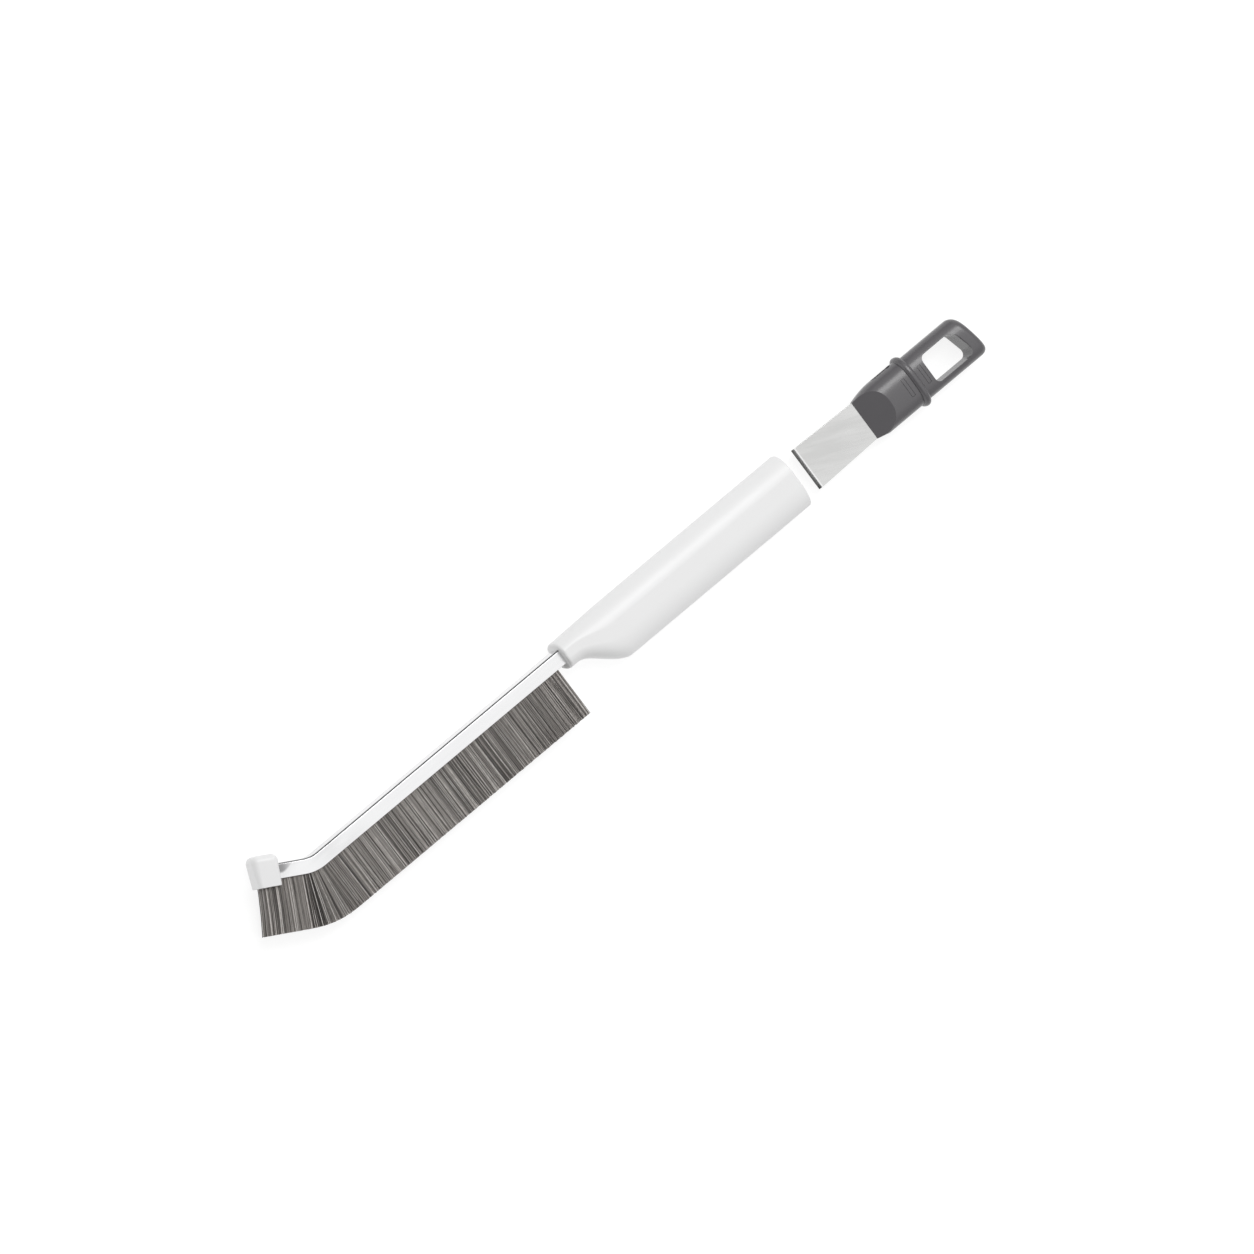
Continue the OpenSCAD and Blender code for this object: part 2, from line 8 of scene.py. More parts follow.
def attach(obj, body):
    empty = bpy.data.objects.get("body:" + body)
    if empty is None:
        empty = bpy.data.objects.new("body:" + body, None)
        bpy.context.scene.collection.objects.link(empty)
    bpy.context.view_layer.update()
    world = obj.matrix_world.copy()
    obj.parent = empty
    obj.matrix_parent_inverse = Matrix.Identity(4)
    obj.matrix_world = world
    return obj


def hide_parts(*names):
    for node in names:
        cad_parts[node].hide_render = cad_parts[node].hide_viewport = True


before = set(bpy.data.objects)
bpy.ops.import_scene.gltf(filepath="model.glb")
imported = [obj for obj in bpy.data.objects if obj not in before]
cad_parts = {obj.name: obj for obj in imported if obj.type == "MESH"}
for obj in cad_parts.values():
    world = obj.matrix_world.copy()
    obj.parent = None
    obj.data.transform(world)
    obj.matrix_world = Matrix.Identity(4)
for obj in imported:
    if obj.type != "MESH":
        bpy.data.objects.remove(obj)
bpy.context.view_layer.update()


# ---------------------------------------------------------------- Camera
# The brush lies on its side and is seen from high above with a long lens, so that it
# crosses the picture from the lower left to the upper right.
picture_w = 0.5117
camera_distance = 18.0
aim = Vector((-0.03538, -0.00285, 0.00788))
right = Vector((0.7195, -0.587, 0.3657)).normalized()
up = Vector((0.6036, 0.7906, 0.0824))
up = (up - right * up.dot(right)).normalized()
back = right.cross(up)

camera_data = bpy.data.cameras.new("studio_camera")
camera_data.sensor_width = 36
camera_data.lens = camera_data.sensor_width * camera_distance / picture_w
camera_data.clip_start = 1
camera_data.clip_end = 1000
camera = bpy.data.objects.new("studio_camera", camera_data)
bpy.context.scene.collection.objects.link(camera)
camera.matrix_world = Matrix.Translation(aim + back * camera_distance) @ Matrix(
    (right, up, back)
).transposed().to_4x4()
bpy.context.scene.camera = camera
bpy.context.scene.view_settings.view_transform = "Standard"


# ---------------------------------------------------------------- Floor and light
# A white lit table under a white tent. A long soft box hangs over the handle, and two
# black cards draw the dark lines along the metal's edges.
class Wire:
    """A socket of a node tree that takes part in Python arithmetic."""

    def __init__(self, tree, socket=None):
        self.tree = tree
        self.socket = socket

    def node(self, kind, settings, inputs, output=0):
        """Adds a node: its settings first, then its inputs, which are values or wires."""
        made = self.tree.nodes.new(kind)
        for name, value in settings.items():
            if name == "stops":
                stops = made.color_ramp.elements
                stops[0].position, stops[0].color = value[0]
                stops[1].position, stops[1].color = value[-1]
                for place, colour in value[1:-1]:
                    stops.new(place).color = colour
            else:
                setattr(made, name, value)
        for name, value in inputs.items():
            if isinstance(value, Wire):
                self.tree.links.new(value.socket, made.inputs[name])
            else:
                made.inputs[name].default_value = value
        return Wire(self.tree, made.outputs[output] if made.outputs else None)

    def other(self, output):
        """Another output of this wire's node."""
        return Wire(self.tree, self.socket.node.outputs[output])

    def split(self):
        """The three numbers of this vector."""
        x = self.node("ShaderNodeSeparateXYZ", {}, {0: self})
        return x, x.other(1), x.other(2)

    def maths(self, operation, *values):
        """A maths node, of this value alone where no values are given."""
        inputs = dict(enumerate(values or (self,)))
        return self.node("ShaderNodeMath", {"operation": operation}, inputs)

    def vector_maths(self, operation, *values):
        inputs = dict(enumerate(values))
        return self.node("ShaderNodeVectorMath", {"operation": operation}, inputs)

    def ramp(self, low, high, to_low=0.0, to_high=1.0):
        """This value taken smoothly from one range to another."""
        return self.node(
            "ShaderNodeMapRange",
            {"interpolation_type": "SMOOTHSTEP"},
            {0: self, 1: low, 2: high, 3: to_low, 4: to_high},
        )

    def mix(self, colour_a, colour_b):
        """Colour A where this value is 0, and colour B where it is 1."""
        return self.node(
            "ShaderNodeMix",
            {"data_type": "RGBA"},
            {0: self, 6: colour_a, 7: colour_b},
            2,
        )

    def __add__(self, other):
        return self.maths("ADD", self, other)

    def __radd__(self, other):
        return self.maths("ADD", other, self)

    def __sub__(self, other):
        return self.maths("SUBTRACT", self, other)

    def __rsub__(self, other):
        return self.maths("SUBTRACT", other, self)

    def __mul__(self, other):
        return self.maths("MULTIPLY", self, other)

    def __rmul__(self, other):
        return self.maths("MULTIPLY", other, self)

    def __truediv__(self, other):
        return self.maths("DIVIDE", self, other)


def panel(direction, centre, inner, outer):
    """1 inside a round panel of the tent, and 0 outside it."""
    facing = direction.vector_maths("DOT_PRODUCT", direction, Vector(centre).normalized())
    nearness = facing.other("Value")
    return nearness.ramp(math.cos(math.radians(outer)), math.cos(math.radians(inner)))


world = bpy.data.worlds.new("tent")
bpy.context.scene.world = world
world.use_nodes = True
world.node_tree.nodes.clear()
base_light, ceiling_light, fill_light, side_light = 0.50, 0.58, 0.70, 0.30
fold_card_dark, bevel_card_dark = 0.5, 0.75
sky = Wire(world.node_tree)
direction = sky.node("ShaderNodeTexCoord", {}, {}, "Generated")
along, side, height = direction.split()
ceiling = panel(direction, centre=(0.30, -0.14, 0.94), inner=22, outer=48)
fill = along.ramp(-0.5, -0.95) * height.ramp(0.5, 0.15)
tent = base_light + ceiling_light * ceiling + fill_light * fill
tent = tent + side_light * side.ramp(-0.1, 0.8)
fold_card = side.ramp(0.72, 0.80) * height.ramp(-0.25, -0.12) * height.ramp(0.60, 0.42)
bevel_card = panel(direction, centre=(-0.76, -0.16, 0.62), inner=12, outer=36)
tent = tent * (1 - fold_card_dark * fold_card) * (1 - bevel_card_dark * bevel_card)
# The camera sees plain white where the tent lights the brush
seen = sky.node("ShaderNodeLightPath", {}, {}, "Is Camera Ray")
tent = tent * (1 - seen) + seen
background = sky.node("ShaderNodeBackground", {}, {"Strength": tent, "Color": (1, 1, 1, 1)})
sky.node("ShaderNodeOutputWorld", {}, {"Surface": background})


def soft_box(name, target, direction, distance, size, power):
    """A soft box that looks at a target from a direction, its long side along the brush."""
    data = bpy.data.lights.new(name, "AREA")
    data.shape = "RECTANGLE"
    data.size, data.size_y = size
    data.energy = power
    lamp = bpy.data.objects.new(name, data)
    bpy.context.scene.collection.objects.link(lamp)
    axis = Vector(direction).normalized()
    along = (Vector((1, 0, 0)) - axis * axis.x).normalized()
    turned = Matrix((along, axis.cross(along), axis)).transposed().to_4x4()
    lamp.matrix_world = Matrix.Translation(Vector(target) + axis * distance) @ turned
    lamp.visible_camera = False


soft_box(
    "soft_box_over",
    target=(-0.03, 0, 0),
    direction=(0.34, 0.31, 0.88),
    distance=1.4,
    size=(1.5, 0.42),
    power=9.0,
)

table_half = 3.0
table_drop = 0.0001
table_glow = 0.82
table_mesh = bpy.data.meshes.new("table")
table_mesh.from_pydata(
    [
        (x * table_half, y * table_half, -table_drop)
        for x, y in ((-1, -1), (1, -1), (1, 1), (-1, 1))
    ],
    [],
    [(0, 1, 2, 3)],
)
table = bpy.data.objects.new("table", table_mesh)
bpy.context.scene.collection.objects.link(table)
table_finish = bpy.data.materials.new("lit_white_table")
table_finish.use_nodes = True
table_shader = table_finish.node_tree.nodes["Principled BSDF"]
table_shader.inputs["Base Color"].default_value = (0.25, 0.25, 0.25, 1)
table_shader.inputs["Roughness"].default_value = 0.9
table_shader.inputs["Specular IOR Level"].default_value = 0.0
table_shader.inputs["Emission Color"].default_value = (1, 1, 1, 1)
table_shader.inputs["Emission Strength"].default_value = table_glow
table_mesh.materials.append(table_finish)


# ---------------------------------------------------------------- Handle
# A hollow oval handle in white plastic, moulded in one shot over the end of the metal strip.
# The two halves of the mould meet along its edges, and its butt is open to take the scraper.
mm = 0.001
mid_z = 8.0
butt_x = 60.0
handle_l = 127.0
handle_w = 25.5
handle_t = 16.0
handle_wall = 1.4
flat_depth = 0.15
squareness = 2.5
neck_l = 4.5
neck_edge_r = 1.0
shoulder_l = 21.5
back_ease_l = 30.0
shaped_l = 40.0
storage_end = 7.0
storage_floor_r = 2.5
strip_w = 8.5
strip_h = 6.4
strip_inset = 3.75
strip_in_neck = 15.0
strip_l = 135.8
fold_r = 0.8
press_gap = 0.02
neck_back_wall = 3.1
neck_front_wall = 3.2
neck_x = butt_x - handle_l
grip_x = neck_x + neck_l + shoulder_l
grip_ry = handle_w / 2
grip_rz = handle_t / 2 + flat_depth
strip_back_y = grip_ry - strip_inset
neck_high_y = strip_back_y + neck_back_wall
neck_low_y = strip_back_y - strip_h - neck_front_wall
oval_sides = 144


def ease(t):
    """0 to 1 smoothly, and level before and after."""
    t = min(max(t, 0.0), 1.0)
    return t * t * (3 - 2 * t)


def oval_ring(x, low_y, high_y, half_z, slant=0.0, flat_z=None):
    """Points of a squared oval round the long axis. Flats are cut where flat_z is given."""
    mid_y, half_y = (high_y + low_y) / 2, (high_y - low_y) / 2
    points = []
    for i in range(oval_sides):
        a = math.tau * i / oval_sides
        c, s = math.cos(a), math.sin(a)
        y = mid_y + half_y * math.copysign(abs(c) ** (2 / squareness), c)
        z = half_z * math.copysign(abs(s) ** (2 / squareness), s)
        if flat_z is not None:
            z = min(max(z, -flat_z), flat_z)
        points.append((x - y * math.tan(slant), y, mid_z + z))
    return points


def quarter(radius, steps, start=90.0, end=0.0):
    """Along and in, for the points of a rounded edge."""
    for k in range(steps + 1):
        a = math.radians(start + (end - start) * k / steps)
        yield radius * math.sin(a), radius * (1 - math.cos(a))


def skin(name, rings):
    """A closed smooth mesh through a list of rings, in millimetres."""
    shape = bmesh.new()
    rows = [[shape.verts.new(Vector(p) * mm) for p in ring] for ring in rings]
    count = len(rows[0])
    for a, b in zip(rows, rows[1:]):
        for j in range(count):
            shape.faces.new((a[j], a[(j + 1) % count], b[(j + 1) % count], b[j]))
    shape.faces.new(rows[0])
    shape.faces.new(rows[-1])
    bmesh.ops.recalc_face_normals(shape, faces=shape.faces)
    return finish_mesh(name, shape)


def finish_mesh(name, shape, sharp=32.0):
    """Makes an object of a bmesh, smooth but for its sharp edges."""
    mesh = bpy.data.meshes.new(name)
    shape.to_mesh(mesh)
    shape.free()
    piece = bpy.data.objects.new(name, mesh)
    bpy.context.scene.collection.objects.link(piece)
    smooth_but_sharp(mesh, sharp)
    return piece


def smooth_but_sharp(mesh, sharp):
    """Shades a mesh smooth, but for edges that turn by more than an angle."""
    mesh.shade_smooth()
    mesh.set_sharp_from_angle(angle=math.radians(sharp))


def settle(piece):
    """Turns a piece's modifiers into its plain mesh."""
    depsgraph = bpy.context.evaluated_depsgraph_get()
    mesh = bpy.data.meshes.new_from_object(piece.evaluated_get(depsgraph), depsgraph=depsgraph)
    piece.modifiers.clear()
    old, piece.data = piece.data, mesh
    bpy.data.meshes.remove(old)
    piece.data.name = piece.name


def cut(piece, *cutters):
    """Cuts shapes out of a piece and leaves a plain mesh."""
    for cutter in cutters:
        made = piece.modifiers.new("cut", "BOOLEAN")
        made.operation = "DIFFERENCE"
        made.solver = "EXACT"
        made.object = cutter
    settle(piece)
    for cutter in cutters:
        bpy.data.objects.remove(cutter)


def even_normals(piece, sharp):
    """Keeps flat faces flat beside their rounded edges."""
    smooth_but_sharp(piece.data, sharp)
    made = piece.modifiers.new("even_normals", "WEIGHTED_NORMAL")
    made.keep_sharp = True
    made.weight = 80
    settle(piece)


def strip_outside(grow, steps=6):
    """Outside of the folded strip: height above its back, and across."""
    half = strip_w / 2 + grow
    points = [(strip_h + grow, half)]
    for side in (1, -1):
        corner = [
            (fold_r - grow - fold_r * math.sin(a), side * (half - fold_r + fold_r * math.cos(a)))
            for a in (math.radians(90 * k / steps) for k in range(steps + 1))
        ]
        points += corner if side > 0 else corner[::-1]
    return points + [(strip_h + grow, -half)]


def handle_edges(x):
    """Front and back edge of the handle's side view."""
    high = neck_high_y + (grip_ry - neck_high_y) * ease((x - neck_x) / back_ease_l)
    low = neck_low_y + (-grip_ry - neck_low_y) * ease((x - neck_x - neck_l) / shoulder_l)
    return low, high


def handle_ring(x, inset=0.0, wall=0.0):
    """A ring of the handle's outside, or a wall's thickness inside it."""
    low, high = handle_edges(x)
    flat_z = handle_t / 2 - inset if wall == 0 else None
    inward = inset + wall
    return oval_ring(x, low + inward, high - inward, grip_rz - inward, 0, flat_z)


rim_r = handle_wall / 2
grip_end = butt_x - rim_r
face_end = neck_x + neck_edge_r
shaped_end = neck_x + shaped_l
handle_rings = [handle_ring(face_end - along, inset) for along, inset in quarter(neck_edge_r, 7)]
handle_rings += [handle_ring(face_end + (shaped_end - face_end) * k / 64) for k in range(1, 65)]
handle_rings += [handle_ring(shaped_end + (grip_end - shaped_end) * k / 12) for k in range(1, 12)]
handle_rings += [
    handle_ring(grip_end + along, inset) for along, inset in quarter(rim_r, 12, 0, 180)
]
storage_x = grip_x + storage_end
storage_l = grip_end - storage_x - storage_floor_r
handle_rings += [handle_ring(grip_end - storage_l * k / 10, 0, handle_wall) for k in range(1, 10)]
handle_rings += [
    handle_ring(storage_x + storage_floor_r - along, inset, handle_wall)
    for along, inset in quarter(storage_floor_r, 6, 0, 90)
]
handle = skin("handle_moulding", handle_rings)
socket = skin(
    "socket",
    [
        [(x, strip_back_y - h, mid_z + z) for h, z in strip_outside(press_gap)]
        for x in (neck_x - 1, neck_x + strip_in_neck)
    ],
)
cut(handle, socket)
even_normals(handle, 40)


def new_finish(name):
    """A material with its shader and the piece's own coordinates."""
    finish = bpy.data.materials.new(name)
    finish.use_nodes = True
    place = Wire(finish.node_tree).node("ShaderNodeTexCoord", {}, {}, "Object")
    return finish, finish.node_tree.nodes["Principled BSDF"], place


def feed(shader, **inputs):
    """Sets the shader's sockets by name, with spaces written as underscores."""
    for name, value in inputs.items():
        socket = shader.inputs[name.replace("_", " ")]
        if isinstance(value, Wire):
            value.tree.links.new(value.socket, socket)
        else:
            socket.default_value = value


def noise(place, scale, detail=2.0, drawn_out=1.0, turn=0.0, rough=0.5):
    """Noise per metre, drawn out along an axis that is turned away from x."""
    turned = place.node(
        "ShaderNodeMapping",
        {"vector_type": "TEXTURE"},
        {"Vector": place, "Rotation": (0, 0, turn), "Scale": (drawn_out, 1, 1)},
    )
    return place.node(
        "ShaderNodeTexNoise",
        {},
        {"Vector": turned, "Scale": scale, "Detail": detail, "Roughness": rough},
    )


def bumps(height, depth, strength):
    """A bumped normal, its depth in metres."""
    return height.node(
        "ShaderNodeBump", {}, {"Height": height, "Distance": depth, "Strength": strength}, "Normal"
    )


def white_plastic(name, parting):
    """White plastic, with the fine line of the mould's parting where parting is 1."""
    finish, shader, place = new_finish(name)
    cloud = noise(place, 35, 3)
    grain = noise(place, 2600, 3)
    from_middle = (place.split()[2] - mid_z * mm).maths("ABSOLUTE")
    seam = (1 - from_middle.ramp(0.03 * mm, 0.11 * mm)) * parting
    feed(
        shader,
        Base_Color=(0.5 * cloud + 0.6 * seam).mix((0.76, 0.76, 0.762, 1), (0.70, 0.70, 0.698, 1)),
        Roughness=0.27 + 0.07 * cloud + 0.05 * grain,
        Normal=bumps(grain * 0.12 - seam, 0.00006, 0.6),
        IOR=1.49,
    )
    return finish


handle.data.materials.append(white_plastic("white_handle_plastic", 1.0))
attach(handle, "brush")
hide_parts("handle")


# ---------------------------------------------------------------- Metal strip
# A strip of plated steel sheet folded to a U. It is bent by 28 degrees near the tip,
# and its two side walls pinch the bristles and their wire.
sheet_t = 0.7
fold_inner_r = 0.2
lip_r = 0.14
bend_angle = math.radians(28)
bend_r = 14.0
bend_l = bend_r * bend_angle
bend_x = neck_x - strip_l
bend_steps = 18
cap_start = 10.3
cap_l = 12.0
cap_end_wall = 3.0
tip_l = cap_start + cap_l - cap_end_wall
root_half = strip_w / 2 - sheet_t
fold_z = strip_w / 2 - fold_r


def path_point(along, h, across):
    """Along the strip from the start of the bend, height above its back, and across."""
    a = bend_angle * min(max(along / bend_l, 0), 1)
    before, after = min(along, 0), max(along - bend_l, 0)
    return (
        bend_x - before - (bend_r + h) * math.sin(a) - after * math.cos(a),
        strip_back_y + bend_r - (bend_r + h) * math.cos(a) + after * math.sin(a),
        mid_z + across,
    )


def round_corner(centre, radius, start, end, steps):
    """Points of an arc between two angles."""
    return [
        (
            centre[0] + radius * math.cos(math.radians(start + (end - start) * k / steps)),
            centre[1] + radius * math.sin(math.radians(start + (end - start) * k / steps)),
        )
        for k in range(steps + 1)
    ]


strip_section = []
for side in (1, -1):
    wall = round_corner((strip_h - lip_r, strip_w / 2 - lip_r), lip_r, 0, 90, 3)
    wall += round_corner((fold_r, fold_z), fold_r, 90, 180, 10)
    strip_section += [(h, side * z) for h, z in (wall if side > 0 else wall[::-1])]
inner_wall = round_corner(
    (sheet_t + fold_inner_r, root_half - fold_inner_r), fold_inner_r, 180, 90, 4
)
inner_wall += round_corner((strip_h - lip_r, root_half + lip_r), lip_r, 270, 360, 3)
strip_section += [(h, -z) for h, z in inner_wall[::-1]] + inner_wall
strip_stations = [-strip_l - strip_in_neck]
strip_stations += [-strip_l * (1 - k / 24) for k in range(25)]
strip_stations += [bend_l * k / bend_steps for k in range(1, bend_steps + 1)]
strip_stations += [bend_l + tip_l * k / 4 for k in range(1, 5)]
channel = skin(
    "brush_channel_sheet", [[path_point(s, h, z) for h, z in strip_section] for s in strip_stations]
)
for name, values in (
    ("along", [s for s in strip_stations for h, z in strip_section]),
    ("height", [h for s in strip_stations for h, z in strip_section]),
    ("across", [z for s in strip_stations for h, z in strip_section]),
):
    channel.data.attributes.new(name, "FLOAT", "POINT").data.foreach_set("value", values)
even_normals(channel, 40)


def kept(place, name):
    """A number kept on the points of a mesh."""
    return place.node("ShaderNodeAttribute", {"attribute_name": name}, {}, "Fac")


finish, shader, place = new_finish("plated_strip_steel")
along, height, across = (kept(place, name) for name in ("along", "height", "across"))
rolled = noise(place, 900, 2, 30)
smudge = noise(place, 90, 2, 3)
# Painted dark marks in the plating's colour: a painted reflection along the outer folds, a painted
# shadow of the cap on the side wall beside it, and painted shade in patches towards the tip
fold_painted_dark, cap_painted_shadow, tip_painted_shade = 0.86, 0.72, 0.22
cap_shadow_from, cap_shadow_h = 2.5, 4.2
from_middle = across.maths("ABSOLUTE")
round_fold = from_middle.maths("ARCTAN2", fold_r - height, from_middle - fold_z)
painted_dark = round_fold.ramp(0.12, 0.32) * round_fold.ramp(1.45, 1.2)
painted_dark = painted_dark * from_middle.ramp(fold_z - 0.01, fold_z + 0.01) * height.ramp(-0.1, 0.0)
# Painted shadow of the cap on the side wall beside it, from the back fold down
cap_shadow_mask = along.ramp(bend_l + cap_shadow_from, bend_l + cap_start)
cap_shadow_mask = cap_shadow_mask * (height - cap_shadow_h * cap_shadow_mask).ramp(0.7, -0.9) * across.ramp(3, 3.4)
painted_dark = painted_dark.maths("MAXIMUM", fold_painted_dark * painted_dark, cap_painted_shadow * cap_shadow_mask)
painted_dark = painted_dark.maths("MAXIMUM", painted_dark, tip_painted_shade * along.ramp(-30, 8) * smudge.ramp(0.25, 0.6))
# The base colour turns nearly black where the painted reflection, shadow and shade fall
feed(
    shader,
    Base_Color=painted_dark.mix(
        (0.6 * smudge + 0.4 * rolled).mix((0.86, 0.86, 0.865, 1), (0.72, 0.72, 0.725, 1)),
        (0.07, 0.07, 0.072, 1),
    ),
    Metallic=1.0,
    Roughness=0.18 + 0.06 * smudge + 0.04 * rolled,
    Normal=bumps(rolled, 0.000003, 0.15),
)
channel.data.materials.append(finish)
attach(channel, "brush")
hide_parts("brush_channel")


# ---------------------------------------------------------------- Core wire
# A round steel wire that the bristles are folded over before the strip is pressed on them.
wire_d = 2.0
wire_bed = 0.9
wire_in_neck = 10.0
wire_end_gap = 1.0
wire_sides = 28
wire_h = sheet_t + wire_bed + wire_d / 2
wire_stations = [-strip_l - wire_in_neck, -strip_l, -strip_l / 2, 0]
wire_stations += [bend_l * k / 12 for k in range(1, 13)]
wire_stations += [bend_l + tip_l - wire_end_gap]
wire = skin(
    "core_wire_rod",
    [
        [
            path_point(s, wire_h + wire_d / 2 * math.cos(a), wire_d / 2 * math.sin(a))
            for a in (math.tau * i / wire_sides for i in range(wire_sides))
        ]
        for s in wire_stations
    ],
)
finish, shader, place = new_finish("drawn_steel_wire")
drawn = noise(place, 1800, 2, 30)
stain = noise(place, 220, 3)
feed(
    shader,
    Base_Color=(stain * 0.7 + drawn * 0.3).mix((0.46, 0.46, 0.47, 1), (0.30, 0.29, 0.28, 1)),
    Metallic=1.0,
    Roughness=0.3 + 0.2 * stain,
    Normal=bumps(drawn, 0.000004, 0.4),
)
wire.data.materials.append(finish)
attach(wire, "brush")
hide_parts("core_wire")


# ---------------------------------------------------------------- Bristles
# Thousands of stiff grey-brown fibres. Each is folded to a U round the wire, laid side by
# side along the strip, pinched by it and trimmed to one length.
bristle_start = 5.0
bristle_l = 22.2
bristle_end_gap = 0.6
bristle_end = tip_l - bristle_end_gap
splay = 0.7
end_lean = 1.6
fibre_gap = 0.30
fibre_layers = 11
fibre_r = 0.165
fibre_points = 11
fold_share = 0.4
closed_at = 0.34
trim_spread = 0.08
stray_spread = 0.22
clump_lean = 0.55
clump_size = 2.6
run_steps = 80
first_seed, seed_step = 40, 20


def fibre_tree(finish):
    """Folds fibres round the wire along the line of the strip's mouth."""
    tree = bpy.data.node_groups.new("fibres_round_wire", "GeometryNodeTree")
    tree.interface.new_socket("Geometry", in_out="OUTPUT", socket_type="NodeSocketGeometry")
    tree.interface.new_socket("Geometry", in_out="INPUT", socket_type="NodeSocketGeometry")
    named = {
        "Places along": ("NodeSocketInt", 100),
        "Layers": ("NodeSocketInt", fibre_layers),
        "Place spacing": ("NodeSocketFloat", fibre_gap * mm),
        "Fibre radius": ("NodeSocketFloat", fibre_r * mm),
        "Free length": ("NodeSocketFloat", bristle_l * mm),
        "Wall height": ("NodeSocketFloat", strip_h * mm),
        "Wire height": ("NodeSocketFloat", wire_h * mm),
        "Wire radius": ("NodeSocketFloat", wire_d / 2 * mm),
        "Bed under wire": ("NodeSocketFloat", wire_bed * mm),
        "Half width": ("NodeSocketFloat", (root_half - fibre_r) * mm),
        "Splay": ("NodeSocketFloat", splay * mm),
        "Trim": ("NodeSocketFloat", trim_spread * mm),
        "Stray": ("NodeSocketFloat", stray_spread * mm),
        "Clump": ("NodeSocketFloat", clump_lean * mm),
        "End lean": ("NodeSocketFloat", 0.0),
        "Seed": ("NodeSocketInt", 1),
    }
    for name, (kind, value) in named.items():
        made = tree.interface.new_socket(name, in_out="INPUT", socket_type=kind)
        made.default_value = value
    start = tree.nodes.new("NodeGroupInput")
    given = {name: Wire(tree, start.outputs[name]) for name in ("Geometry", *named)}
    at = given["Geometry"]

    def chance(low, high, offset):
        """A random number for each point. Its value output is the second one."""
        seed = given["Seed"] + offset
        inputs = {2: low, 3: high, "Seed": seed}
        return at.node("FunctionNodeRandomValue", {"data_type": "FLOAT"}, inputs, 1)

    def store(geometry, name, value, kind="FLOAT"):
        """Keeps a value on every point under a name."""
        return at.node(
            "GeometryNodeStoreNamedAttribute",
            {"data_type": kind, "domain": "POINT"},
            {"Geometry": geometry, "Name": name, "Value": value},
        )

    def read(name, kind="FLOAT"):
        """A value that was stored under a name."""
        return at.node("GeometryNodeInputNamedAttribute", {"data_type": kind}, {"Name": name})

    def scaled(vector, amount):
        """A vector made longer by an amount."""
        inputs = {0: vector, "Scale": amount}
        return at.node("ShaderNodeVectorMath", {"operation": "SCALE"}, inputs)

    # Places along the strip, once for each layer of fibres
    path = at.node("GeometryNodeMeshToCurve", {}, {"Mesh": at})
    places = at.node(
        "GeometryNodeCurveToPoints",
        {"mode": "COUNT"},
        {"Curve": path, "Count": given["Places along"]},
    )
    share = at.node("GeometryNodeInputIndex", {}, {}) / given["Places along"]
    points = store(places, "run", places.other("Tangent"), "FLOAT_VECTOR")
    points = store(points, "share", share)
    points = at.node(
        "GeometryNodeDuplicateElements",
        {"domain": "POINT"},
        {"Geometry": points, "Amount": given["Layers"]},
    )
    layer = (points.other("Duplicate Index") + chance(0.05, 0.95, 1)) / given["Layers"]
    position = at.node("GeometryNodeInputPosition", {}, {})
    points = store(points, "root", position, "FLOAT_VECTOR")
    stored = {
        "layer": layer,
        "jitter": chance(-0.5, 0.5, 2),
        "stray_a": chance(-1, 1, 3),
        "stray_b": chance(-1, 1, 4),
        "stray_c": chance(-1, 1, 5),
        "stray_d": chance(-1, 1, 6),
        "trim": chance(-1, 1, 7),
        "tone": chance(0, 1, 8),
    }
    for name, value in stored.items():
        points = store(points, name, value)

    # One fibre, whose own x runs from -1 at one end over 0 at the fold to 1 at the other
    line = at.node(
        "GeometryNodeCurvePrimitiveLine",
        {"mode": "POINTS"},
        {"Start": (-1, 0, 0), "End": (1, 0, 0)},
    )
    line = at.node("GeometryNodeResampleCurve", {}, {"Curve": line, "Count": fibre_points})
    line = store(line, "own", position.split()[0])
    fibres = at.node("GeometryNodeInstanceOnPoints", {}, {"Points": points, "Instance": line})
    fibres = at.node("GeometryNodeRealizeInstances", {}, {"Geometry": fibres})

    own = read("own")
    root, run = read("root", "FLOAT_VECTOR"), read("run", "FLOAT_VECTOR")
    layer, share = read("layer"), read("share")
    side = own.maths("SIGN")
    reach = own.maths("ABSOLUTE")
    fold = own.maths("MINIMUM", reach / fold_share, 1.0)
    leg = own.maths("MAXIMUM", reach - fold_share, 0.0) / (1 - fold_share)
    wide = given["Half width"]
    wire_r = given["Wire radius"]
    turn = fold * (math.pi / 2)
    beside = wire_r + (wide - wire_r) * (0.1 + 0.9 * layer)
    under = wire_r + given["Bed under wire"] * (0.12 + 0.8 * layer)
    closing = leg.ramp(0, closed_at)
    spread = wide * (0.03 + 0.97 * layer)
    across = beside * turn.maths("SINE") * (1 - closing) + spread * closing
    loose = leg * leg
    stray = given["Stray"]
    tip_side = read("stray_a") * side
    across = side * (across + given["Splay"] * layer * leg) + stray * 0.6 * loose * (
        read("stray_b") + 0.7 * tip_side
    )
    full = given["Wall height"] + given["Free length"] - given["Wire height"]
    longer = given["Trim"] * (read("trim") + 0.6 * tip_side) * leg
    height = given["Wire height"] - under * turn.maths("COSINE") + full * leg + longer

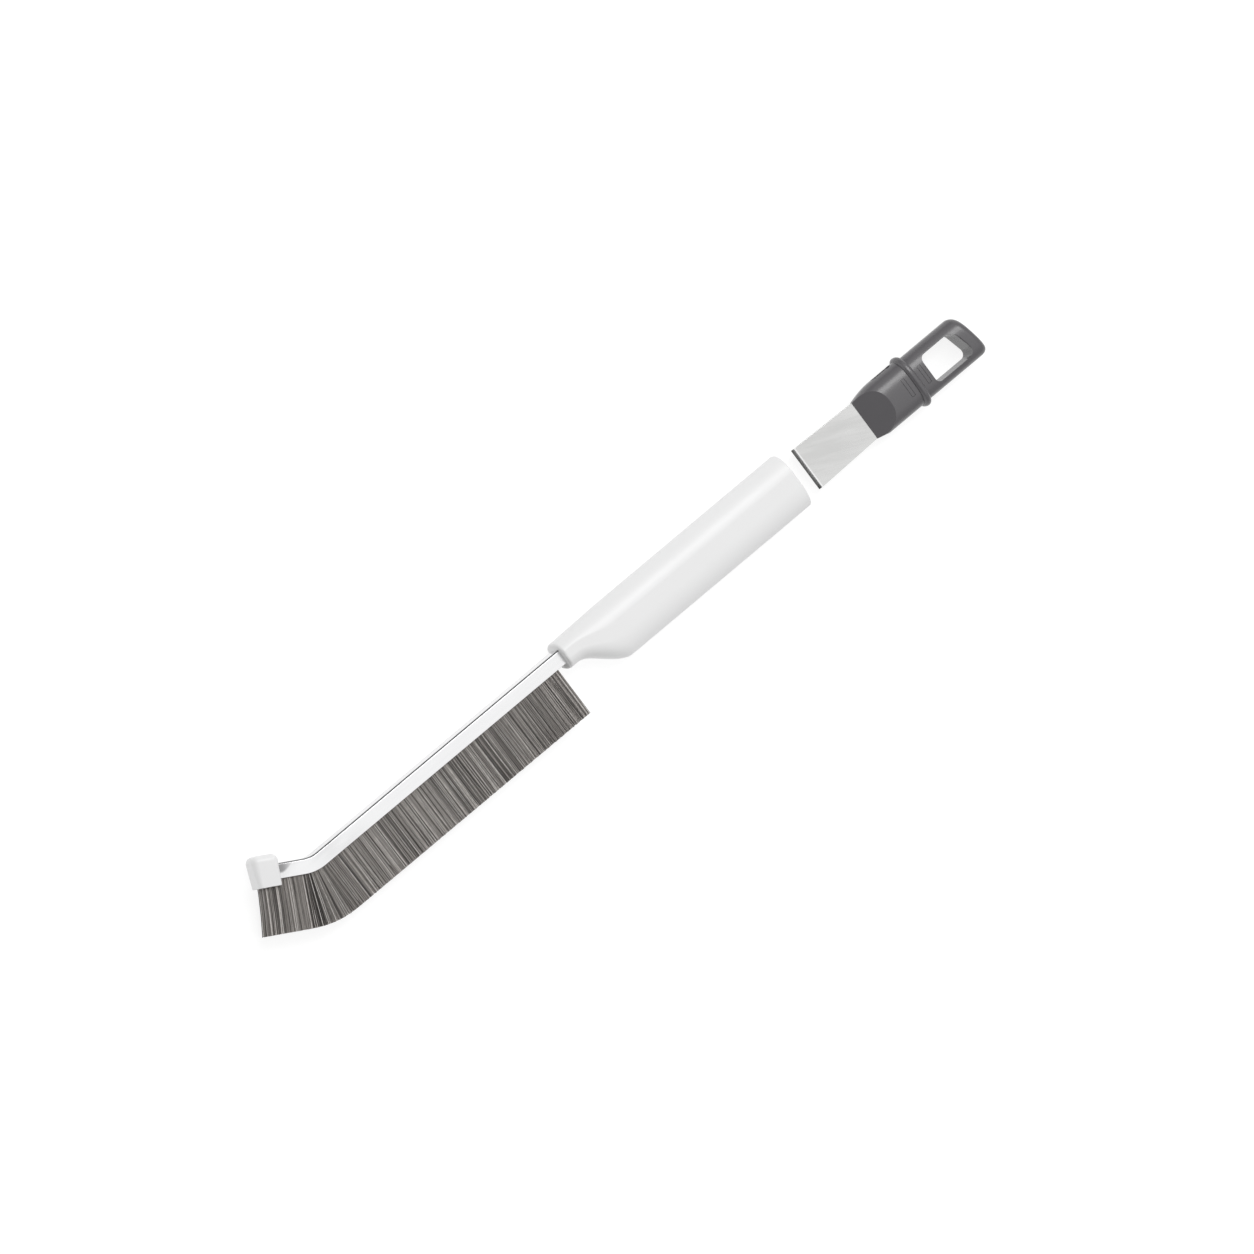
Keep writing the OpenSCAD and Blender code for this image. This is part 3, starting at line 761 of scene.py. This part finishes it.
    # Clumps: neighbours lean together towards their tips
    apart = at.node("ShaderNodeCombineXYZ", {}, {2: side * 3.0 + layer * 1.2})
    clump_place = root.vector_maths("ADD", scaled(root, 1 / (clump_size * mm)), apart)
    clumps, fine, streaks = (
        at.node(
            "ShaderNodeTexNoise",
            {},
            {"Vector": clump_place, "Scale": scale, "Detail": detail},
        )
        for scale, detail in ((1.0, 1.5), (3.6, 1.0), (5.0, 2.0))
    )
    lean = given["End lean"] * share.ramp(0.3, 1.0)
    bow = leg * (1 - leg) * 4
    along = read("jitter") * given["Place spacing"] + loose * (
        given["Clump"] * (clumps - 0.5) * 2 + given["Clump"] * (fine - 0.5) + lean
    )
    along = along + stray * (
        (read("stray_c") * 0.8 + tip_side * 0.5) * loose + read("stray_d") * 0.5 * bow
    )
    outward = run.vector_maths("CROSS_PRODUCT", (0, 0, 1), run)
    place = root.vector_maths("ADD", root, scaled(run, along))
    place = root.vector_maths("ADD", place, scaled(outward, height - given["Wall height"]))
    place = root.vector_maths("ADD", place, at.node("ShaderNodeCombineXYZ", {}, {2: across}))
    fibres = at.node("GeometryNodeSetPosition", {}, {"Geometry": fibres, "Position": place})
    for name, value in (("leg", leg), ("clump", clumps), ("streak", streaks)):
        fibres = store(fibres, name, value)
    profile = at.node(
        "GeometryNodeCurvePrimitiveCircle",
        {},
        {"Resolution": 3, "Radius": given["Fibre radius"]},
    )
    mesh = at.node(
        "GeometryNodeCurveToMesh",
        {},
        {"Curve": fibres, "Profile Curve": profile, "Fill Caps": True},
    )
    for name in ("root", "run", "share", "own", *stored):
        if name != "tone":
            mesh = at.node("GeometryNodeRemoveAttribute", {}, {"Geometry": mesh, "Name": name})
    mesh = at.node("GeometryNodeSetShadeSmooth", {}, {"Geometry": mesh})
    mesh = at.node("GeometryNodeRealizeInstances", {}, {"Geometry": mesh})
    mesh = at.node("GeometryNodeSetMaterial", {}, {"Geometry": mesh, "Material": finish})
    end = tree.nodes.new("NodeGroupOutput")
    tree.links.new(mesh.socket, end.inputs[0])
    return tree


finish, shader, place = new_finish("grey_brown_fibre")
tone, clump, leg, streak = (kept(place, name) for name in ("tone", "clump", "leg", "streak"))
# Each fibre's own tone and clumps, with painted shade in the dark gaps where the streaks run low
tone_and_painted_shade = (0.45 * tone + 0.9 * (clump - 0.5) + 2.8 * (streak - 0.5) + 0.24).ramp(0, 1)
# Painted shade: the fibres darken towards the wire, inside the strip and near its mouth
tone_and_painted_shade = tone_and_painted_shade * (0.75 + 0.25 * leg.ramp(0, 0.4))
fleck = noise(place, 500, 2)
fibre_colours = [
    (0.0, (0.090, 0.082, 0.077, 1)),
    (0.40, (0.320, 0.296, 0.278, 1)),
    (0.80, (0.500, 0.470, 0.445, 1)),
    (1.0, (0.760, 0.730, 0.700, 1)),
]
feed(
    shader,
    Base_Color=place.node(
        "ShaderNodeValToRGB", {"stops": fibre_colours}, {0: tone_and_painted_shade * (0.8 + 0.4 * fleck)}
    ),
    Roughness=0.42 + 0.2 * tone,
    Normal=bumps(fleck, 0.00001, 0.2),
)

fibres = fibre_tree(finish)
ids = {s.name: s.identifier for s in fibres.interface.items_tree if s.in_out == "INPUT"}
run_l = strip_l - bristle_start
for seed, (name, start, end, lean, node) in enumerate(
    (
        ("bristle_run_by_handle", -run_l, -run_l / 2, 0, "bristles"),
        ("bristle_run_by_bend", -run_l / 2, 0, 0, "bristles"),
        ("bristle_tip", 0, bend_l + bristle_end, end_lean, "bristles_tip"),
    )
):
    stations = [start + (end - start) * k / run_steps for k in range(run_steps + 1)]
    line = bpy.data.meshes.new(name)
    line.from_pydata(
        [Vector(path_point(s, strip_h, 0)) * mm for s in stations],
        [(k, k + 1) for k in range(run_steps)],
        [],
    )
    places = [vertex.co for vertex in line.vertices]
    length = sum((b - a).length for a, b in zip(places, places[1:]))
    piece = bpy.data.objects.new(name, line)
    bpy.context.scene.collection.objects.link(piece)
    modifier = piece.modifiers.new("fibres", "NODES")
    modifier.node_group = fibres
    modifier[ids["Places along"]] = round(length / (fibre_gap * mm))
    modifier[ids["End lean"]] = lean * mm
    modifier[ids["Seed"]] = first_seed + seed_step * seed
    settle(piece)
    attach(piece, "brush")
    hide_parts(node)


# ---------------------------------------------------------------- Tip cap
# A white moulded cap pressed over the strip's end. It is open towards the bristles.
cap_back_wall = 4.3
cap_front_wall = 2.7
cap_side_wall = 1.0
cap_back_r = 2.9
cap_end_r = 1.7
cap_rim_r = 0.7
cap_lean = 1.3
cap_rim_lean = 0.9
cap_mouth_band = 0.6
cap_edge_r = 0.25
cap_half = strip_w / 2 + cap_side_wall
cap_low, cap_high = -cap_back_wall, strip_h + cap_front_wall
cap_rows, cap_steps = 32, 64


def tip_point(along, h, across):
    """A point on the straight tip, along from the end of the bend."""
    return path_point(bend_l + along, h, across)


def tip_prism(name, start, end, section):
    """A prism along the straight tip, on a section of heights and widths."""
    return skin(name, [[tip_point(s, h, z) for h, z in section] for s in (start, end)])


# The cap is the skin stretched over four balls at its back and four posts at its mouth
cap_points = []
turns = [math.tau * j / cap_steps for j in range(cap_steps)]
for x_at in (cap_back_r, cap_l - cap_back_r):
    for side in (-1, 1):
        for i in range(cap_rows + 1):
            polar = math.pi * i / cap_rows
            reach = cap_back_r * math.sin(polar)
            for a in turns:
                cap_points.append(
                    (
                        cap_start + x_at + reach * math.cos(a),
                        cap_low + cap_back_r + cap_back_r * math.cos(polar),
                        side * (cap_half - cap_back_r) + reach * math.sin(a),
                    )
                )
mouth_edge = (
    (cap_mouth_band, 0),
    (cap_edge_r, 0),
    (cap_edge_r * 0.3, cap_edge_r * 0.3),
    (0, cap_edge_r),
)
for x_at, radius in (
    (cap_rim_lean + cap_rim_r, cap_rim_r),
    (cap_l - cap_lean - cap_end_r, cap_end_r),
):
    for side in (-1, 1):
        for in_h, smaller in mouth_edge:
            for a in turns:
                cap_points.append(
                    (
                        cap_start + x_at + (radius - smaller) * math.cos(a),
                        cap_high - in_h,
                        side * (cap_half - radius) + (radius - smaller) * math.sin(a),
                    )
                )
shape = bmesh.new()
for point in cap_points:
    shape.verts.new(Vector(tip_point(*point)) * mm)
bmesh.ops.remove_doubles(shape, verts=shape.verts, dist=1e-6)
hull = bmesh.ops.convex_hull(shape, input=shape.verts)
inside = [v for v in hull["geom_interior"] if isinstance(v, bmesh.types.BMVert)]
bmesh.ops.delete(shape, geom=inside, context="VERTS")
bmesh.ops.recalc_face_normals(shape, faces=shape.faces)
cap = finish_mesh("tip_cap_moulding", shape)
cutter_past, cutter_over = 2, 1
pocket = tip_prism("pocket", cap_start - cutter_past, tip_l, strip_outside(press_gap))
mouth = [
    (sheet_t, root_half),
    (sheet_t, -root_half),
    (cap_high + cutter_past, -root_half),
    (cap_high + cutter_past, root_half),
]
slot = tip_prism("slot", cap_start - cutter_past, bristle_end, mouth)
cut(cap, pocket, slot)
even_normals(cap, 24)
cap.data.materials.append(white_plastic("white_cap_plastic", 0.0))
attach(cap, "brush")
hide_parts("tip_cap")


# ---------------------------------------------------------------- Scraper blade
# A flat steel blade, ground to a bevel at its end. It widens a little towards the edge,
# and its tang is moulded into the holder.
plug_gap = 0.3
plug_back_relief = 0.5
plug_ry = grip_ry - handle_wall - plug_gap
plug_rz = grip_rz - handle_wall - plug_gap
plug_high_y = plug_ry - plug_back_relief
pulled_out = 7.7
blade_l = 33.3
blade_t = 1.2
blade_inset = 0.65
blade_back_inset = 1.15
blade_taper = 0.85
bevel_l = 1.2
edge_t = 0.3
tang_l = 15.0
tang_w = 13.0
peg_r = 2.0
peg_sides = 40
blade_edge_r = 0.09
shoulder_row = 2
edge_x = butt_x + pulled_out
lip_x = edge_x + blade_l
blade_low_y = -plug_ry + blade_inset
blade_high_y = plug_high_y - blade_back_inset
blade_mid_y = (blade_low_y + blade_high_y) / 2
bevel_x = edge_x + bevel_l
bevel_in = blade_taper * bevel_l / blade_l
bottom_z, top_z = mid_z - blade_t / 2, mid_z + blade_t / 2
rows = [
    (edge_x, blade_low_y, blade_high_y, bottom_z + edge_t),
    (bevel_x, blade_low_y + bevel_in, blade_high_y - bevel_in, top_z),
    (lip_x, blade_low_y + blade_taper, blade_high_y - blade_taper, top_z),
    (lip_x, blade_mid_y - tang_w / 2, blade_mid_y + tang_w / 2, top_z),
    (lip_x + tang_l, blade_mid_y - tang_w / 2, blade_mid_y + tang_w / 2, top_z),
]
shape = bmesh.new()
grid = []
for x_at, low_y, high_y, roof in rows:
    ring = ((low_y, bottom_z), (high_y, bottom_z), (high_y, roof), (low_y, roof))
    grid.append([shape.verts.new(Vector((x_at, *p)) * mm) for p in ring])
for k, (a, b) in enumerate(zip(grid, grid[1:])):
    if k == shoulder_row:
        # The shoulders where the blade steps in to the tang
        shape.faces.new((a[0], b[0], b[3], a[3]))
        shape.faces.new((a[2], b[2], b[1], a[1]))
        continue
    for j in range(4):
        shape.faces.new((a[j], a[(j + 1) % 4], b[(j + 1) % 4], b[j]))
shape.faces.new(grid[0])
shape.faces.new(grid[-1])
bmesh.ops.remove_doubles(shape, verts=shape.verts, dist=1e-7)
bmesh.ops.recalc_face_normals(shape, faces=shape.faces)
blade = finish_mesh("scraper_blade_plate", shape, 20)
eased = blade.modifiers.new("eased_edges", "BEVEL")
eased.width = blade_edge_r * mm
eased.segments = 3
eased.limit_method = "ANGLE"
eased.angle_limit = math.radians(25)
settle(blade)


def upright(name, points, low_z, high_z):
    """A prism on an outline of x and y, in millimetres."""
    return skin(name, [[(px, py, at) for px, py in points] for at in (low_z, high_z)])


def pegs():
    """The two round pegs of the holder that go through holes in the tang."""
    made = []
    for side in (-1, 1):
        peg_x, peg_y = lip_x + tang_l / 2, blade_mid_y + side * tang_w / 4
        outline = [
            (peg_x + peg_r * math.cos(a), peg_y + peg_r * math.sin(a))
            for a in (math.tau * i / peg_sides for i in range(peg_sides))
        ]
        made.append(upright("peg", outline, bottom_z - cutter_over, top_z + cutter_over))
    return made


cut(blade, *pegs())
even_normals(blade, 25)

finish, shader, place = new_finish("brushed_blade_steel")
brush_angle = math.radians(-24)
brushed = noise(place, 1600, 3, 25, brush_angle, 0.6)
wisps = noise(place, 260, 3, 7, brush_angle)
smudge = noise(place, 90, 3)
# Millimetres from the cutting edge, for the painted shade on the ground bevel and the painted
# highlight behind it
from_edge = place.split()[0] / mm - edge_x
painted_bevel_shade = from_edge.ramp(1.0, 0.45)
painted_edge_highlight = from_edge.ramp(0.8, 1.15) * from_edge.ramp(2.1, 1.35)
steel = (0.25 * brushed + 0.75 * wisps).ramp(0.32, 0.68)
steel = steel.mix((0.61, 0.61, 0.605, 1), (0.54, 0.54, 0.535, 1))
steel = (0.6 * painted_edge_highlight).mix(steel, (0.92, 0.92, 0.92, 1))
feed(
    shader,
    # Painted shade on the bevel and a painted highlight behind it, mixed into the steel's colour
    Base_Color=(0.62 * painted_bevel_shade).mix(steel, (0.10, 0.10, 0.10, 1)),
    Metallic=1.0,
    Roughness=0.20 + 0.08 * smudge + 0.05 * brushed,
    Normal=bumps(brushed, 0.000004, 0.2),
)
blade.data.materials.append(finish)
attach(blade, "scraper")
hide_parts("scraper_blade")


# ---------------------------------------------------------------- Scraper holder
# One dark grey moulding: a plug that slides into the handle, a collar bead that stops it
# at the butt, and a loop to hang the brush by. It is moulded round the blade's tang.
ramp_l = 11.9
plug_l = 12.8
lip_t = 0.35
collar_l = 3.4
collar_inset = 0.1
collar_back_inset = 1.0
collar_inset_t = 0.2
loop_l = 31.4
loop_back_step = 0.7
loop_front_step = 0.1
loop_face_step = 0.45
loop_slant = math.radians(11)
hole_start = 5.8
hole_l = 21.5
hole_back_bar = 4.0
hole_front_bar = 3.3
hole_slant = math.radians(15)
hole_corner_r = 2.6
hole_slant_corner_r = 4.5
hole_fillet = 0.4
back_corner_r = 3.6
front_corner_r = 2.4
face_r = 2.2
dimple_inset = 0.9
dimple_l = 10.4
dimple_w = 4.0
dimple_r = 1.9
dimple_depth = 0.6
mark_l = 8.8
mark_w = 1.9
mark_line = 0.25
mark_depth = 0.2
mark_lap = 0.1
mark_y = -0.6
mark_apart = 3.0
last_ring_gap = 0.3
taper_steps = 18
front_taper = 5.5
lip_side = 0.1
plug_x = lip_x + ramp_l
collar_x = plug_x + plug_l
loop_x = collar_x + collar_l
loop_end_x = loop_x + loop_l
loop_low_y = -plug_ry + loop_front_step
loop_high_y = plug_high_y - loop_back_step
loop_rz = plug_rz - loop_face_step
collar_low_y = -grip_ry + collar_inset
collar_high_y = grip_ry - collar_back_inset
collar_rz = mid_z - collar_inset_t
lip_low = blade_low_y + blade_taper - lip_side
lip_high = blade_high_y - blade_taper + lip_side
holder_rings = []
for k in range(taper_steps + 1):
    along = ramp_l * k / taper_steps
    low_y = lip_low - (lip_low + plug_ry) * min(along / front_taper, 1)
    high_y = lip_high + (plug_high_y - lip_high) * math.sin(math.pi / 2 * k / taper_steps)
    holder_rings.append(oval_ring(lip_x + along, low_y, high_y, plug_rz))
# Rings of the plug, the last one close to the collar so that the corner stays crisp
plug_rings = [plug_x + (plug_l - last_ring_gap) * k / 4 for k in range(1, 5)] + [collar_x]
holder_rings += [oval_ring(x_at, -plug_ry, plug_high_y, plug_rz) for x_at in plug_rings]
bead_r = collar_l / 2
for degrees in range(15, 166, 6):
    a = math.radians(degrees)
    inset = bead_r * (1 - math.sin(a))
    holder_rings.append(
        oval_ring(
            collar_x + bead_r - bead_r * math.cos(a),
            collar_low_y + inset,
            collar_high_y - inset,
            collar_rz - inset,
        )
    )
loop_run = loop_end_x - back_corner_r - loop_x
for share in (k / 8 for k in range(9)):
    holder_rings.append(
        oval_ring(
            loop_x + loop_run * share,
            loop_low_y,
            loop_high_y,
            loop_rz,
            loop_slant * share,
        )
    )
for a in (math.pi / 2 * k / 14 for k in range(1, 15)):
    holder_rings.append(
        oval_ring(
            loop_x + loop_run + back_corner_r * math.sin(a),
            loop_low_y + front_corner_r * (1 - math.cos(a)),
            loop_high_y - back_corner_r * (1 - math.cos(a)),
            loop_rz - face_r * (1 - math.cos(a)),
            loop_slant,
        )
    )
holder = skin("scraper_holder_moulding", holder_rings)


def block(name, low, high, turned=Matrix.Identity(4)):
    """A box between two corners, in millimetres, used to cut."""
    shape = bmesh.new()
    bmesh.ops.create_cube(shape, size=1)
    for v in shape.verts:
        corner = [low[i] + (high[i] - low[i]) * (v.co[i] + 0.5) for i in range(3)]
        v.co = turned @ Vector(corner) * mm
    return finish_mesh(name, shape)


def fillet_outline(corners, steps=10):
    """Outline of a list of corners (x, y, radius), each corner rounded."""
    points = []
    for i, (cx, cy, radius) in enumerate(corners):
        corner = Vector((cx, cy))
        to_before = (Vector(corners[i - 1][:2]) - corner).normalized()
        to_after = (Vector(corners[(i + 1) % len(corners)][:2]) - corner).normalized()
        half = to_before.angle(to_after) / 2
        centre = corner + (to_before + to_after).normalized() * radius / math.sin(half)
        start = corner + to_before * radius / math.tan(half) - centre
        end = corner + to_after * radius / math.tan(half) - centre
        sweep = math.pi - 2 * half
        for t in (k / steps for k in range(steps + 1)):
            spoke = start * math.sin(sweep * (1 - t)) + end * math.sin(sweep * t)
            points.append(centre + spoke / math.sin(sweep))
    return points


# The two sloping faces beside the blade
lip_half = blade_t / 2 + lip_t
ramp_angle = math.atan((plug_rz - lip_half) / ramp_l)
far_y, far_z = 25, 16
cutters = []
for side in (-1, 1):
    turned = Matrix.Translation((lip_x, 0, mid_z + side * lip_half))
    turned = turned @ Matrix.Rotation(-side * ramp_angle, 4, "Y")
    low_z, high_z = (0, far_z) if side > 0 else (-far_z, 0)
    low, high = (-cutter_over, -far_y, low_z), (2 * ramp_l, far_y, high_z)
    cutters.append(block("slope", low, high, turned))

hole_low = loop_low_y + hole_front_bar
hole_high = loop_high_y - hole_back_bar
hole_x = loop_x + hole_start


def hole_outline(grow):
    """Outline of the hanging hole, grown at its rounded rims."""
    r = hole_corner_r + grow
    slant_x = hole_l - (hole_high - hole_low) * math.tan(hole_slant)
    return fillet_outline(
        [
            (hole_x - grow, hole_low - grow, r),
            (hole_x + hole_l + grow, hole_low - grow, r),
            (hole_x + slant_x + grow, hole_high + grow, hole_slant_corner_r + grow),
            (hole_x - grow, hole_high + grow, r),
        ]
    )


hole_rings = []
rim_set = [(loop_rz + cutter_past, hole_fillet)]
for share in (math.sin(math.pi / 2 * k / 6) for k in range(7)):
    rim_set.append((loop_rz - hole_fillet * share, hole_fillet * (1 - share)))
for side in (-1, 1):
    made = [
        [(p.x, p.y, mid_z + side * z_at) for p in hole_outline(grow)] for z_at, grow in rim_set
    ]
    hole_rings += made if side < 0 else made[::-1]
cutters.append(skin("hole", hole_rings))

# Dimple in the plug's back edge, and two grooved marks beside the collar
dimple_x = plug_x + dimple_inset + dimple_l / 2
outline = fillet_outline(
    [
        (dimple_x + sx * dimple_l / 2, mid_z + sz * dimple_w / 2, dimple_r)
        for sx, sz in ((-1, -1), (1, -1), (1, 1), (-1, 1))
    ]
)
dimple_rings = [
    [(p.x, plug_high_y + up_by, p.y) for p in outline] for up_by in (-dimple_depth, cutter_past)
]
cutters.append(skin("dimple", dimple_rings))


def groove(x_from, x_to, y_from, y_to, low_y, high_y, face_rz):
    """Cuts a line of even depth into the upper face of a squared oval."""
    rings = []
    for k in range(17):
        y = y_from + (y_to - y_from) * k / 16
        share = abs(y - (low_y + high_y) / 2) / ((high_y - low_y) / 2)
        low_z = mid_z + face_rz * (1 - share**squareness) ** (1 / squareness) - mark_depth
        high_z = low_z + cutter_past
        corners = ((x_from, low_z), (x_to, low_z), (x_to, high_z), (x_from, high_z))
        rings.append([(x, y, z) for x, z in corners])
    return skin("groove", rings)


for mark_x, low_y, high_y, face_rz in (
    (collar_x - mark_apart, -plug_ry, plug_high_y, plug_rz),
    (loop_x + mark_apart, loop_low_y, loop_high_y, loop_rz),
):
    x_from, x_to = mark_x - mark_w / 2, mark_x + mark_w / 2
    y_from, y_to = mark_y - mark_l / 2, mark_y + mark_l / 2
    for line in (
        (x_from, x_from + mark_line, y_from, y_to),
        (x_to - mark_line, x_to, y_from, y_to),
        (x_from + mark_lap, x_to - mark_lap, y_from, y_from + mark_line),
        (x_from + mark_lap, x_to - mark_lap, y_to - mark_line, y_to),
    ):
        cutters.append(groove(*line, low_y, high_y, face_rz))
tang_slot = block(
    "tang_slot",
    (lip_x - cutter_over, blade_mid_y - tang_w / 2, bottom_z),
    (lip_x + tang_l, blade_mid_y + tang_w / 2, top_z),
)
cut(tang_slot, *pegs())
cutters.append(tang_slot)
cut(holder, *cutters)
even_normals(holder, 20)

finish, shader, place = new_finish("dark_grey_plastic")
cloud = noise(place, 55, 3)
grain = noise(place, 2400, 3)
feed(
    shader,
    Base_Color=cloud.mix((0.096, 0.092, 0.098, 1), (0.080, 0.077, 0.082, 1)),
    Roughness=0.21 + 0.05 * cloud + 0.05 * grain,
    Normal=bumps(grain, 0.00001, 0.4),
    IOR=1.58,
)
holder.data.materials.append(finish)
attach(holder, "scraper")
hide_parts("scraper_holder")
